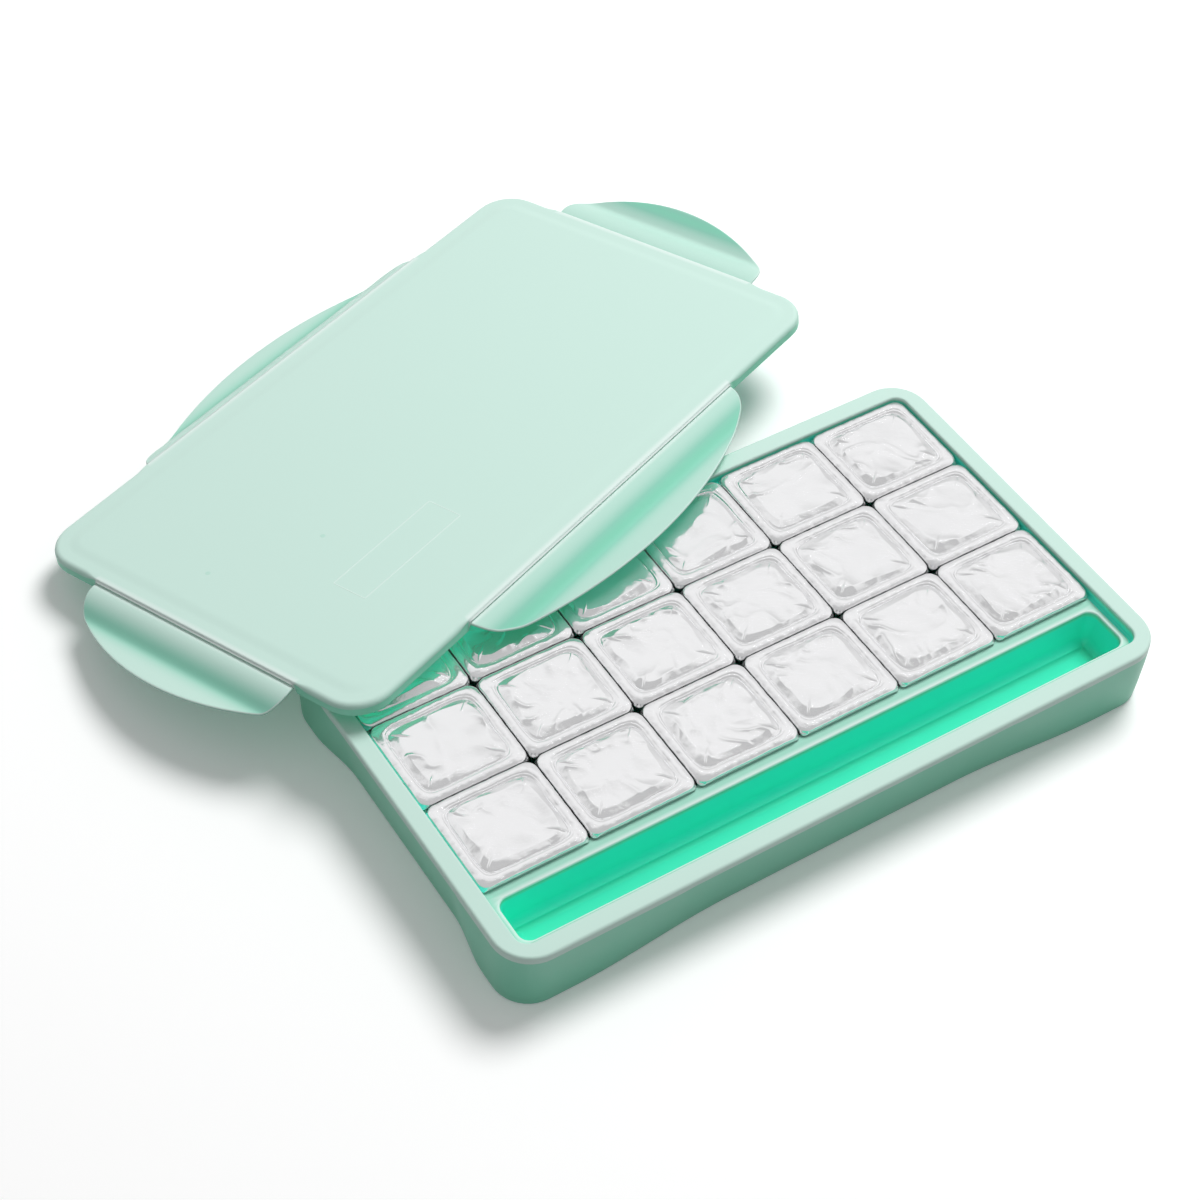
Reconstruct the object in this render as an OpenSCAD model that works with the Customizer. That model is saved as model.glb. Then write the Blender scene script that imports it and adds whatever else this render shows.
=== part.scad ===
// Gouache paint set: a moulded tray with eighteen foil-sealed paint cups and a brush
// trough, and a lid with four snap flaps that leans behind the tray.
// Origin: centre of the tray's underside. X runs along the tray's length, Y from the
// brush trough to the back row of cups, Z up.

/* [Tray] */
// Outer length of the tray at its rim
tray_l = 312; // [300:1:330]
// Outer width of the tray at its rim
tray_w = 180; // [176:1:190]
// Height of the tray
tray_h = 32; // [31:0.5:36]
// Plan radius of the tray's outer corners
corner_r = 16.5; // [12:0.5:20]
// Width of the flat rim
rim_w = 8.2; // [7.5:0.1:10]
// Thickness of the moulded walls
wall = 1.8; // [1.4:0.1:2.2]
// Depth of the recessed frame below the rim
frame_drop = 5; // [4:0.5:6]
// Width of the ledge round the cups and the trough
ledge_w = 3.5; // [3:0.25:4]
// Thickness of the tray's floor
floor_t = 1.6; // [1.2:0.1:2.4]
// Height of the band under the rim that the flaps catch
catch_h = 3.4; // [2.5:0.1:4.5]
// How far the side walls step in just under the catch band
catch_step = 1.2; // [0.6:0.1:1.5]
// How far the side walls stand in at the foot, between the corners
foot_inset = 5.2; // [3:0.1:5.6]
// How far the corners round in at the foot
corner_inset = 1; // [0.4:0.1:1.5]

/* [Brush trough] */
// Width of the trough's mouth
trough_w = 21.5; // [18:0.5:24]
// Depth of the trough below the ledge
trough_d = 17; // [12:0.5:20]
// Radius where the trough's walls meet its floor
trough_r = 6; // [3:0.5:8]

/* [Cups] */
// Number of cups along the tray
cup_cols = 6; // [6:1:6]
// Number of rows of cups
cup_rows = 3; // [3:1:3]
// Width of a cup's flange
cup_w = 44.2; // [42:0.1:44.4]
// Clearance between neighbouring flanges
cup_gap = 0.4; // [0.3:0.1:1]
// Clearance between the end flanges and the tray
cup_end_gap = 0.7; // [0.4:0.1:1.5]
// Plan radius of a flange's corners
cup_r = 4; // [3:0.5:8]
// Height of the rolled flange
flange_h = 2.6; // [2:0.1:3]
// How far a cup's body stands inside its flange
flange_w = 3.9; // [3.8:0.1:4.5]
// Plan radius of a cup's body at its top
body_r = 4.5; // [4:0.5:6]
// How far a cup's body tapers in at its foot
cup_taper = 2; // [1:0.1:2.5]
// Thickness of a cup's wall
cup_t = 0.9; // [0.7:0.1:1.2]
// How far the flange's top stays below the tray's rim
cup_drop = 2; // [1.8:0.1:3]
// Space between the paint and the foil
paint_drop = 4; // [2.5:0.5:8]

/* [Foil] */
// Thickness of a foil seal with its sealing film
foil_t = 0.3; // [0.2:0.05:0.4]
// Height of the creases in the foil
foil_wave = 0.6; // [0.2:0.1:0.8]
// Width of the flat sealed edge of the foil
foil_edge = 4.4; // [3.5:0.1:5.5]

/* [Lid] */
// How far the lid stands out past the tray on each side
lid_over = 0.5; // [0:0.1:1]
// Thickness of the lid's plate
plate_t = 1.8; // [1.4:0.1:2.2]
// Depth of the lid's skirt, from the top of the plate
skirt_h = 6.4; // [5.5:0.1:8]
// Thickness of the skirt and of the locating rib
skirt_t = 1.6; // [1.2:0.1:2]
// Depth of the locating rib, from the top of the plate
rib_h = 7.4; // [7:0.1:8]
// Clearance of the locating rib in the tray's recessed frame
rib_gap = 0.5; // [0.3:0.1:1]
// Distance of the raised panel from the lid's edge
panel_in = 9.5; // [7:0.5:14]
// Height of the raised panel
panel_h = 0.5; // [0.3:0.1:1]

/* [Flaps] */
// Length of the flaps on the lid's long sides
long_flap = 181; // [160:1:190]
// Length of the flaps on the lid's short sides
short_flap = 111; // [100:1:118]
// How far the front flap reaches out from its hinge
long_reach = 29; // [26:0.5:34]
// How far the back flap reaches out from its hinge
back_reach = 26; // [24:0.5:30]
// How far the short flaps reach out from their hinge
short_reach = 28; // [26:0.5:34]
// Radius of the long flaps' outer edge
long_sweep = 207; // [180:1:240]
// Radius of the short flaps' outer edge
short_sweep = 101; // [90:1:120]
// Radius of the flaps' end corners
flap_end_r = 9; // [6:0.5:11]
// Thickness of the flaps
flap_t = 1.4; // [1.1:0.1:1.8]
// Distance from the hinge to the valley that hooks under the catch band
valley_at = 14.5; // [13:0.5:17]
// Depth of that valley below the hinge
valley_d = 7; // [5:0.5:8]
// How far the finger lip rises again from the valley
lip_rise = 1.6; // [0.5:0.1:3]
// Radius of the hinge bead
bead_r = 0.7; // [0.5:0.1:0.9]
// Clearance round the hinge bead
hinge_gap = 0.3; // [0.2:0.05:0.5]

/* [Lid as it leans] */
// How far the lid's centre lies left of the tray's centre
lean_x = 36.3; // [30:0.1:45]
// How far the lid's centre lies behind the tray's centre
lean_y = 170.1; // [160:0.1:190]
// Slope of the lid down towards the back
lean_pitch = 8.8; // [8.5:0.1:9.2]
// Slope of the lid down towards its right end
lean_roll = 0.9; // [0.5:0.1:1.3]
// Turn of the lid on the table
lean_turn = 20.35; // [18:0.05:24]
// Clearance between the resting lid and the tray's rim
rest_gap = 0.3; // [0.2:0.1:0.6]
// Angle of the right flap above its moulded angle
right_set = 21; // [0:1:25]
// Angle of the back flap below its moulded angle
back_set = 7; // [0:0.5:10]

/* [Hidden] */
row_names = ["front", "middle", "back"];
eps = 0.01;
mint = [0.66, 0.88, 0.81];
round_fn = 48;

// Tray, derived
frame_l = tray_l - 2 * rim_w;
frame_w = tray_w - 2 * rim_w;
frame_z = tray_h - frame_drop;
frame_r = cup_r + cup_end_gap;
hole_r = max(frame_r - ledge_w, 3);
cup_l = (frame_l - 2 * cup_end_gap - (cup_cols - 1) * cup_gap) / cup_cols;
pitch_x = cup_l + cup_gap;
pitch_y = cup_w + cup_gap;
grid_back = frame_w / 2 - cup_gap;
grid_front = grid_back - cup_rows * pitch_y + cup_gap;
bay_l = frame_l - 2 * ledge_w;
bay_front = grid_front + ledge_w;
bay_back = frame_w / 2 - ledge_w;
bay_w = bay_back - bay_front;
bay_y = (bay_back + bay_front) / 2;
trough_front = -frame_w / 2 + ledge_w;
trough_y = trough_front + trough_w / 2;
trough_taper = 1.2;
bay_taper = 1;

// Cups, derived
cup_top = tray_h - cup_drop;
flange_z = cup_top - flange_h;
cup_foot = floor_t;
body_l = cup_l - 2 * flange_w;
body_w = cup_w - 2 * flange_w;
paint_top = cup_top - paint_drop;

// Lid, derived
lid_l = tray_l + 2 * lid_over;
lid_w = tray_w + 2 * lid_over;
lid_r = corner_r + lid_over;
bead_z = -plate_t - hinge_gap - bead_r;
bead_in = 0.5;
flap_top = bead_z + bead_r;
// Point of the locating rib that rests on the tray's back left corner
rest_u = -145.8;
rest_v = -46.5;
lid_z = tray_h + rest_gap + sin(lean_roll) * rest_u
    + cos(lean_roll) * (sin(lean_pitch) * rest_v + cos(lean_pitch) * rib_h);

// Position of a cup: column 1 to 6 from the left, row 0 (front) to 2 (back)
function cup_x(c) = (c - (cup_cols + 1) / 2) * pitch_x;
function cup_y(r) = grid_front + cup_w / 2 + r * pitch_y;

function smooth(t) = let (k = min(max(t, 0), 1)) k * k * (3 - 2 * k);

// ---- shared shapes ----

module rounded(l, w, r) {
    square([l - 2 * r, w], center = true);
    square([l, w - 2 * r], center = true);
    for (x = [-1, 1], y = [-1, 1])
        translate([x * (l / 2 - r), y * (w / 2 - r)])
            circle(r, $fn = round_fn);
}

module slab(l, w, r, z0, z1) {
    translate([0, 0, z0])
        linear_extrude(z1 - z0)
            rounded(l, w, r);
}

// A box with rounded corners that narrows by "taper" on each side towards its foot
module drafted(l, w, r, taper, z0, z1) {
    h = z1 - z0;
    foot_r = max(r - taper, 0.3);
    for (x = [-1, 1], y = [-1, 1])
        translate([x * (l / 2 - r), y * (w / 2 - r), z0])
            cylinder(h = h, r1 = foot_r, r2 = r, $fn = round_fn);
    translate([0, w / 2 - r, z0])
        rotate([90, 0, 0])
            linear_extrude(w - 2 * r)
                side_profile(l, h, r - foot_r);
    translate([-(l / 2 - r), 0, z0])
        rotate([90, 0, 90])
            linear_extrude(l - 2 * r)
                side_profile(w, h, r - foot_r);
}

module side_profile(l, h, taper) {
    polygon([[-l / 2 + taper, 0], [l / 2 - taper, 0], [l / 2, h], [-l / 2, h]]);
}

// ---- tray ----

// Depth of a side's recess at distance s from its middle, as a share of the full depth
function recess(s, s0, s1) = 1 - smooth((abs(s) - s0) / (s1 - s0));

// Cuts the leaning recess below the catch band out of the side that faces -Y.
// "across" is the tray's size across that side, "skin" moves the cut further in.
module side_recess(across, half_full, half_end, skin) {
    drop = tray_h - catch_h;
    lean = atan2(foot_inset - catch_step, drop);
    rise = foot_inset - corner_inset;
    curve = [for (i = [-recess_n : recess_n])
        let (s = half_end * i / recess_n)
        [s, rise * recess(s, half_full, half_end)]];
    translate([0, -across / 2 + skin, 0])
        intersection() {
            translate([0, corner_inset, 0])
                rotate([lean, 0, 0])
                    translate([0, 0, -10])
                        linear_extrude(drop + 20)
                            polygon(concat([[-half_end, -20]], curve, [[half_end, -20]]));
            translate([-across * 2, -20, -20])
                cube([across * 4, 40, 20 + drop]);
        }
}

recess_n = 8;
long_full = 55;
long_end = 132;
short_full = 38;
short_end = 68;

// The four recesses
module recesses(skin) {
    for (a = [0, 180])
        rotate([0, 0, a])
            side_recess(tray_w, long_full, long_end, skin);
    for (a = [90, -90])
        rotate([0, 0, a])
            side_recess(tray_l, short_full, short_end, skin);
}

// The outer form of the tray, moved in by "skin"
module tray_form(skin, foot, top) {
    l = tray_l - 2 * skin;
    w = tray_w - 2 * skin;
    r = corner_r - skin;
    band = tray_h - catch_h;
    difference() {
        union() {
            if (top > band)
                slab(l, w, r, band - eps, top);
            translate([0, 0, foot])
                drafted(l, w, r, corner_inset, 0, min(top, band) - foot);
        }
        recesses(skin);
    }
}

// The recessed frame, the cup bay and the brush trough, grown by "grow"
module pans(grow, lift) {
    slab(frame_l + 2 * grow, frame_w + 2 * grow, frame_r + grow, frame_z - grow, tray_h + lift);
    translate([0, bay_y])
        drafted(bay_l + 2 * grow, bay_w + 2 * grow, hole_r + grow, bay_taper,
            grow > 0 ? -1 : floor_t, frame_z + eps);
    translate([0, trough_y])
        intersection() {
            drafted(bay_l + 2 * grow, trough_w + 2 * grow, hole_r + grow, trough_taper,
                frame_z - trough_d - grow, frame_z + eps);
            trough_section(grow);
        }
}

// Cross-section of the trough, with its rounded floor
module trough_section(grow) {
    r = trough_r + grow;
    half = trough_w / 2 + grow;
    deep = trough_d + grow;
    translate([-tray_l / 2, 0, frame_z])
        rotate([90, 0, 90])
            linear_extrude(tray_l) {
                translate([-half, -deep + r])
                    square([2 * half, deep - r + 1]);
                translate([-half + r, -deep])
                    square([2 * (half - r), r + 1]);
                for (x = [-1, 1])
                    translate([x * (half - r), -deep + r])
                        circle(r, $fn = round_fn);
            }
}

module tray() {
    color(mint)
        difference() {
            tray_form(0, 0, tray_h);
            difference() {
                tray_form(wall, -eps, tray_h - wall);
                pans(wall, -eps);
            }
            pans(0, 1);
        }
}

// ---- cups ----

module at_cup(c, r) {
    translate([cup_x(c), cup_y(r), 0])
        children();
}

module cup() {
    color("white")
        difference() {
            union() {
                slab(cup_l, cup_w, cup_r, flange_z, cup_top);
                drafted(body_l, body_w, body_r, cup_taper, cup_foot, cup_top);
            }
            drafted(body_l - 2 * cup_t, body_w - 2 * cup_t, body_r - cup_t, cup_taper,
                cup_foot + cup_t, cup_top + eps);
        }
}

module paint() {
    fill = (paint_top - cup_foot - cup_t) / (cup_top - cup_foot - cup_t);
    narrow = cup_taper * (1 - fill);
    color([0.9, 0.9, 0.88])
        drafted(body_l - 2 * (cup_t + narrow) - 0.1, body_w - 2 * (cup_t + narrow) - 0.1,
            body_r - cup_t - narrow, max(cup_taper - narrow, 0.2), cup_foot + cup_t, paint_top);
}

// Height of the creased foil: flat at the sealed edge, a shallow pillow inside
foil_n = 9;
function foil_z(u, v, k) =
    let (room = min(1 - abs(u), 1 - abs(v)) / 0.16)
    let (crease = sin(190 * u + 47 * k) * cos(150 * v - 31 * k)
        + 0.6 * sin(310 * v + 260 * u + 71 * k))
    smooth(room) * foil_wave * (0.45 + 0.45 * crease);

// One foil seal: a flat rim with a creased middle
module foil(k) {
    in_l = cup_l - 2 * foil_edge;
    in_w = cup_w - 2 * foil_edge;
    base = cup_top + foil_t;
    m = foil_n + 1;
    steps = [for (i = [0 : foil_n]) -1 + 2 * i / foil_n];
    top = [for (v = steps, u = steps) [u * in_l / 2, v * in_w / 2, base + foil_z(u, v, k)]];
    low = [for (v = steps, u = steps) [u * in_l / 2, v * in_w / 2, base - foil_t / 2]];
    quads = [for (j = [0 : foil_n - 1], i = [0 : foil_n - 1])
        [j * m + i, j * m + i + 1, (j + 1) * m + i + 1, (j + 1) * m + i]];
    n = m * m;
    up = [for (q = quads, t = [[q[0], q[2], q[1]], [q[0], q[3], q[2]]]) t];
    down = [for (q = quads) [n + q[0], n + q[1], n + q[2], n + q[3]]];
    border = concat(
        [for (i = [0 : foil_n - 1]) i],
        [for (j = [0 : foil_n - 1]) j * m + foil_n],
        [for (i = [foil_n : -1 : 1]) foil_n * m + i],
        [for (j = [foil_n : -1 : 1]) j * m]);
    e = len(border);
    walls = [for (i = [0 : e - 1])
        [border[i], border[(i + 1) % e], n + border[(i + 1) % e], n + border[i]]];
    color("silver")
        union() {
            slab(cup_l - 0.2, cup_w - 0.2, cup_r - 0.1, cup_top, base);
            polyhedron(concat(top, low), concat(up, down, walls), convexity = 4);
        }
}

// ---- lid ----

// Puts a shape drawn in the lid's own frame (origin on top of its plate) where the lid leans
module as_leaning() {
    translate([-lean_x, lean_y, lid_z])
        rotate([-lean_pitch, lean_roll, lean_turn])
            children();
}

// Room for one flap's hinge and root, cut from the skirt under the plate
module hinge_room(half_l, out) {
    depth = bead_in + flap_t + hinge_gap;
    translate([out - depth, -half_l - hinge_gap, -skirt_h - 1])
        cube([depth + 1, 2 * (half_l + hinge_gap), skirt_h + 1 - plate_t]);
}

module lid_panel() {
    rib_l = frame_l - 2 * rib_gap;
    rib_w = frame_w - 2 * rib_gap;
    rib_r = frame_r - rib_gap;
    color(mint)
        as_leaning()
            difference() {
                union() {
                    slab(lid_l, lid_w, lid_r, -plate_t, -panel_h);
                    slab(lid_l - 2 * panel_in, lid_w - 2 * panel_in, lid_r - panel_in / 2,
                        -panel_h - eps, 0);
                    difference() {
                        slab(lid_l, lid_w, lid_r, -skirt_h, -plate_t + eps);
                        slab(lid_l - 2 * skirt_t, lid_w - 2 * skirt_t, lid_r - skirt_t,
                            -skirt_h - 1, 0);
                    }
                    difference() {
                        slab(rib_l, rib_w, rib_r, -rib_h, -plate_t + eps);
                        slab(rib_l - 2 * skirt_t, rib_w - 2 * skirt_t, rib_r - skirt_t,
                            -rib_h - 1, 0);
                    }
                }
                hinge_room(short_flap / 2, lid_l / 2);
                rotate([0, 0, 180])
                    hinge_room(short_flap / 2, lid_l / 2);
                rotate([0, 0, 90])
                    hinge_room(long_flap / 2, lid_w / 2);
                rotate([0, 0, -90])
                    hinge_room(long_flap / 2, lid_w / 2);
            }
}

// ---- flaps ----

// Height of the flap's top face at distance u from the hinge
function flap_z(u, reach) =
    u < 2 ? 0
    : u < valley_at ? -valley_d * pow((u - 2) / (valley_at - 2), 1.8)
    : -valley_d + lip_rise * (u - valley_at) / (reach - valley_at);

// Cross-section of a flap, from the hinge outwards
module flap_profile(reach) {
    us = concat([for (i = [0 : 7]) 2 * i],
        [valley_at, valley_at + 2, (valley_at + reach) / 2 + 1, reach + 1]);
    n = len(us);
    slope = [for (u = us) (flap_z(u + 0.2, reach) - flap_z(u - 0.2, reach)) / 0.4];
    upper = [for (i = [0 : n - 1]) [us[i], flap_z(us[i], reach)]];
    lower = [for (i = [n - 1 : -1 : 0])
        [us[i], flap_z(us[i], reach) - flap_t * sqrt(1 + slope[i] * slope[i])]];
    polygon(concat(upper, lower));
}

// Outline of a flap seen from above: straight at the hinge, rounded ends, curved outer edge
function flap_outline(half_l, reach, sweep) =
    let (mid = reach - sweep)
    let (cv = half_l - flap_end_r)
    let (cu = mid + sqrt(pow(sweep - flap_end_r, 2) - pow(cv, 2)))
    let (turn = atan2(cv, cu - mid))
    let (n = 6)
    let (m = 10)
    concat(
        [[-bead_r, -half_l], [cu, -half_l]],
        [for (i = [1 : n])
            let (a = -90 + (90 - turn) * i / n)
            [cu + flap_end_r * cos(a), -cv + flap_end_r * sin(a)]],
        [for (i = [1 : 2 * m - 1])
            let (a = -turn + turn * i / m)
            [mid + sweep * cos(a), sweep * sin(a)]],
        [for (i = [0 : n])
            let (a = turn + (90 - turn) * i / n)
            [cu + flap_end_r * cos(a), cv + flap_end_r * sin(a)]],
        [[-bead_r, half_l]]);

// A flap with its hinge along Y at the origin, reaching out along +X
module flap(half_l, reach, sweep) {
    translate([0, half_l, 0])
        rotate([90, 0, 0])
            cylinder(h = 2 * half_l, r = bead_r, $fn = round_fn);
    intersection() {
        translate([0, half_l + 1, bead_r / 2])
            rotate([90, 0, 0])
                linear_extrude(2 * half_l + 2)
                    flap_profile(reach);
        translate([0, 0, -20])
            linear_extrude(40)
                polygon(flap_outline(half_l, reach, sweep));
    }
}

// Puts a flap on the lid's edge at "out" from its middle, turned to side a, raised by "set"
module hinged(a, out, set) {
    color(mint)
        as_leaning()
            rotate([0, 0, a])
                translate([out - bead_in, 0, bead_z])
                    rotate([0, -set, 0])
                        children();
}

module flap_front() {
    hinged(-90, lid_w / 2, 0)
        flap(long_flap / 2, long_reach, long_sweep);
}

module flap_back() {
    hinged(90, lid_w / 2, -back_set)
        flap(long_flap / 2, back_reach, long_sweep);
}

module flap_left() {
    hinged(180, lid_l / 2, 0)
        flap(short_flap / 2, short_reach, short_sweep);
}

module flap_right() {
    hinged(0, lid_l / 2, right_set)
        flap(short_flap / 2, short_reach, short_sweep);
}

tray();
lid_panel();
flap_front();
flap_back();
flap_left();
flap_right();
for (r = [0 : cup_rows - 1], c = [1 : cup_cols]) {
    place = str(row_names[r], "_", c);
    at_cup(c, r) cup();
    at_cup(c, r) foil(r * cup_cols + c);
    at_cup(c, r) paint();
}
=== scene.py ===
import bmesh
import bpy
import math
import numpy as np
from mathutils import Euler, Matrix, Vector
from mathutils.geometry import tessellate_polygon


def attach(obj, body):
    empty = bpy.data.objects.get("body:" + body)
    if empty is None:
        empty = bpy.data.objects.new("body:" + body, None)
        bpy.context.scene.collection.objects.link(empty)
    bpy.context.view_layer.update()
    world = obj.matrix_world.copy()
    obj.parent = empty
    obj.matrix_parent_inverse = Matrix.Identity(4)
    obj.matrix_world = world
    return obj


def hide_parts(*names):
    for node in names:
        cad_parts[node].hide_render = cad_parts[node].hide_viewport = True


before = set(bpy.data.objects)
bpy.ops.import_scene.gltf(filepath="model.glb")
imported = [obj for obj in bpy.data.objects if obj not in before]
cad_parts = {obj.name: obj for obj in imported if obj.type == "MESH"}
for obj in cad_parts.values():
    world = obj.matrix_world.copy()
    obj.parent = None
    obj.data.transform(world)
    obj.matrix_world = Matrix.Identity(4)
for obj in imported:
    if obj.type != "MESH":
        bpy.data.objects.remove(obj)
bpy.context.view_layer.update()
mm = 0.001
noArea = 1e-14      # a triangle with less turn than this has no area
noLength = 1e-12    # keeps a division by a length from failing
samePlace = 1e-7    # points closer than this are one point


# Collects rings of points and the faces between them for one piece
class Shell:
    def __init__(self):
        self.points = []
        self.faces = []
        self.tints = []
        self.glows = []
        self.flat = []

    # each point's tint is the mint's own tone with painted highlights and painted shade, and its glow is a
    # painted glow
    def ring(self, points, tint=0.1, glow=0.0):
        first = len(self.points)
        self.points += [tuple(p) for p in points]
        self.tints += list(np.broadcast_to(tint, len(points)))
        self.glows += list(np.broadcast_to(glow, len(points)))
        return list(range(first, first + len(points)))

    def join(self, a, b):
        for i in range(len(a)):
            j = (i + 1) % len(a)
            self.faces.append((a[i], a[j], b[j], b[i]))
            self.flat.append(False)

    def loft(self, rings):
        for a, b in zip(rings, rings[1:]):
            self.join(a, b)

    # the same for faces that look down or inwards
    def hang(self, rings):
        for a, b in zip(rings, rings[1:]):
            self.join(b, a)

    # a level face between an outline and the holes in it
    def level(self, loops, up=True):
        order = [i for loop in loops for i in loop]
        lines = [[Vector(self.points[i]) for i in loop] for loop in loops]
        for tri in tessellate_polygon(lines):
            a, b, c = (order[i] for i in tri)
            pa, pb, pc = (Vector(self.points[i]) for i in (a, b, c))
            turn = (pb - pa).cross(pc - pa).z
            if abs(turn) < noArea:
                continue
            self.faces.append((a, b, c) if (turn > 0) == up else (a, c, b))
            self.flat.append(True)

    def build(self, name, place=Matrix.Identity(4)):
        mesh = bpy.data.meshes.new(name)
        mesh.from_pydata(self.points, [], self.faces)
        mesh.polygons.foreach_set("use_smooth", [not f for f in self.flat])
        # the tints are stored as the painted light and shade attribute, the glows as the painted glow
        # attribute
        for effect, values in (("paintedLightAndTone", self.tints), ("glow", self.glows)):
            data = mesh.attributes.new(effect, "FLOAT", "POINT").data
            data.foreach_set("value", np.array(values, np.float32))
        mesh.validate()
        mesh.transform(place)
        mesh.update()
        obj = bpy.data.objects.new(name, mesh)
        bpy.context.scene.collection.objects.link(obj)
        return obj


# A rounded rectangle as points with outward normals, anticlockwise from the front left
def outline(length, width, radius, arcSteps=10, longSteps=96, shortSteps=56, centreY=0.0):
    x, y = length / 2 - radius, width / 2 - radius
    sides = [
        ((-x, -y), (x, -y), -90),
        ((x, -y), (x, y), 0),
        ((x, y), (-x, y), 90),
        ((-x, y), (-x, -y), 180),
    ]
    spots, normals, along, sideOf = [], [], [], []
    for k, (a, b, angle) in enumerate(sides):
        steps = longSteps if k % 2 == 0 else shortSteps
        n = (math.cos(math.radians(angle)), math.sin(math.radians(angle)))
        for i in range(steps + 1):
            t = i / steps
            px, py = a[0] + (b[0] - a[0]) * t, a[1] + (b[1] - a[1]) * t
            spots.append((px + n[0] * radius, py + n[1] * radius + centreY))
            normals.append(n)
            along.append(px if k % 2 == 0 else py)
            sideOf.append(k)
        for i in range(1, arcSteps):
            angleHere = math.radians(angle + 90 * i / arcSteps)
            n = (math.cos(angleHere), math.sin(angleHere))
            spots.append((b[0] + n[0] * radius, b[1] + n[1] * radius + centreY))
            normals.append(n)
            along.append(0.0)
            sideOf.append(-1)       # a corner is on no side
    return {
        "spots": np.array(spots),
        "normals": np.array(normals),
        "along": np.array(along),
        "side": np.array(sideOf),
    }


# The outline as a ring of points, drawn in by an inset
def ringAt(base, inset, z):
    xy = base["spots"] - base["normals"] * np.broadcast_to(inset, len(base["spots"]))[:, None]
    return np.column_stack([xy, np.broadcast_to(z, len(xy))])


def smoothStep(t):
    t = np.clip(t, 0, 1)
    return t * t * (3 - 2 * t)


# Insets and heights of a rounded edge that turns from level to upright, or back
def fillet(inset, z, radius, kind, steps=5):
    pairs = []
    for i in range(steps + 1):
        a = math.pi / 2 * i / steps
        if kind == "over outside":      # from upright, up and over to level
            pairs.append((inset + radius * (1 - math.cos(a)), z - radius + radius * math.sin(a)))
        elif kind == "over inside":     # from level, over and down
            pairs.append((inset - radius + radius * math.sin(a), z - radius * (1 - math.cos(a))))
        elif kind == "foot inside":     # from upright, down and in to level
            pairs.append((inset + radius * (1 - math.cos(a)), z + radius * (1 - math.sin(a))))
    return pairs


tray = {
    "length": 312 * mm, "width": 180 * mm, "height": 32 * mm, "cornerRadius": 16.5 * mm,
    "rimWidth": 8.2 * mm, "rimRound": 1.3 * mm, "rimInnerRound": 0.9 * mm,
    "frameDrop": 5 * mm, "frameRadius": 5.5 * mm, "frameFoot": 0.9 * mm, "ledge": 3.5 * mm,
    "catchHeight": 3.4 * mm, "catchStep": 1.2 * mm, "footInset": 5.2 * mm, "cornerInset": 1.0 * mm,
    "longRecess": (55 * mm, 132 * mm), "shortRecess": (38 * mm, 68 * mm), "recessSoftness": 0.5 * mm,
    "troughWidth": 21.5 * mm, "troughDepth": 17 * mm, "troughDraft": 1.2 * mm, "troughFoot": 4.6 * mm,
    "troughFlatIn": (18 * mm, 15 * mm), "troughFlatRadius": 1.0 * mm, "troughFootMost": 4.7 * mm,
    "panCorner": 4.8 * mm, "panUnderCorner": 6 * mm, "bayDraft": 1.0 * mm, "bayFoot": 1.5 * mm,
    "dividerWidth": 7.4 * mm, "floor": 1.6 * mm, "wall": 1.8 * mm, "lipRadius": 0.7 * mm,
    # painted light and shade run from 0, the palest, a painted highlight, through 0.1, the plastic's own
    # mint, to 1, the deepest painted shade
    "footShade": 0.5, "wallShade": 0.44, "wallFade": 0.06, "frameShade": 0.5, "frameFootShade": 0.7,
    "ledgeShade": 0.25, "troughLipHighlight": 0.05, "troughShades": (0.4, 0.6, 0.65, 1.0), "troughFade": 0.03,
    "bayShades": (0.3, 1.0), "underShade": 0.4,
}


# How far the outer wall stands in from the rim: most in the middle of each side
def trayInset(base, z):
    t = tray
    recess = np.zeros(len(base["spots"]))
    for k, (flat, end) in enumerate([t["longRecess"], t["shortRecess"]] * 2):
        on = base["side"] == k
        recess[on] = 1 - smoothStep((np.abs(base["along"][on]) - flat) / (end - flat))
    band = t["height"] - t["catchHeight"]
    lean = (t["footInset"] - t["catchStep"]) * z / band
    cut = t["cornerInset"] + (t["footInset"] - t["cornerInset"]) * recess - lean
    draft = t["cornerInset"] * (1 - z / band)
    soft = t["recessSoftness"]
    return (cut + draft + np.sqrt((cut - draft) ** 2 + soft ** 2)) / 2 - soft / 2


# Outer wall from the foot up to the catch band, then the rounded edge of the rim
def trayWall(shell, base):
    t = tray
    band = t["height"] - t["catchHeight"]
    rings = []
    # painted shade on the outer wall: deepest at the foot, fading upwards
    for dz, di in ((0.0, 0.6), (0.15, 0.25), (0.5, 0.04)):
        inset = np.maximum(trayInset(base, dz * mm), 0) + di * mm
        rings.append(shell.ring(ringAt(base, inset, dz * mm), t["footShade"]))
    for z in np.linspace(1.0 * mm, band - 0.3 * mm, 14):
        inset = np.maximum(trayInset(base, z), 0)
        rings.append(shell.ring(ringAt(base, inset, z), t["wallShade"] - t["wallFade"] * z / band))
    under = np.maximum(trayInset(base, band), 0)
    for most, dz in ((None, -0.05), (0.35, 0.02), (0.08, 0.2), (0.0, 0.5)):
        inset = under if most is None else np.minimum(under, most * mm)
        rings.append(shell.ring(ringAt(base, inset, band + dz * mm)))
    for inset, z in fillet(0, t["height"], t["rimRound"], "over outside", 6):
        rings.append(shell.ring(ringAt(base, inset, z)))
    shell.loft(rings)
    return rings[-1]


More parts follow.
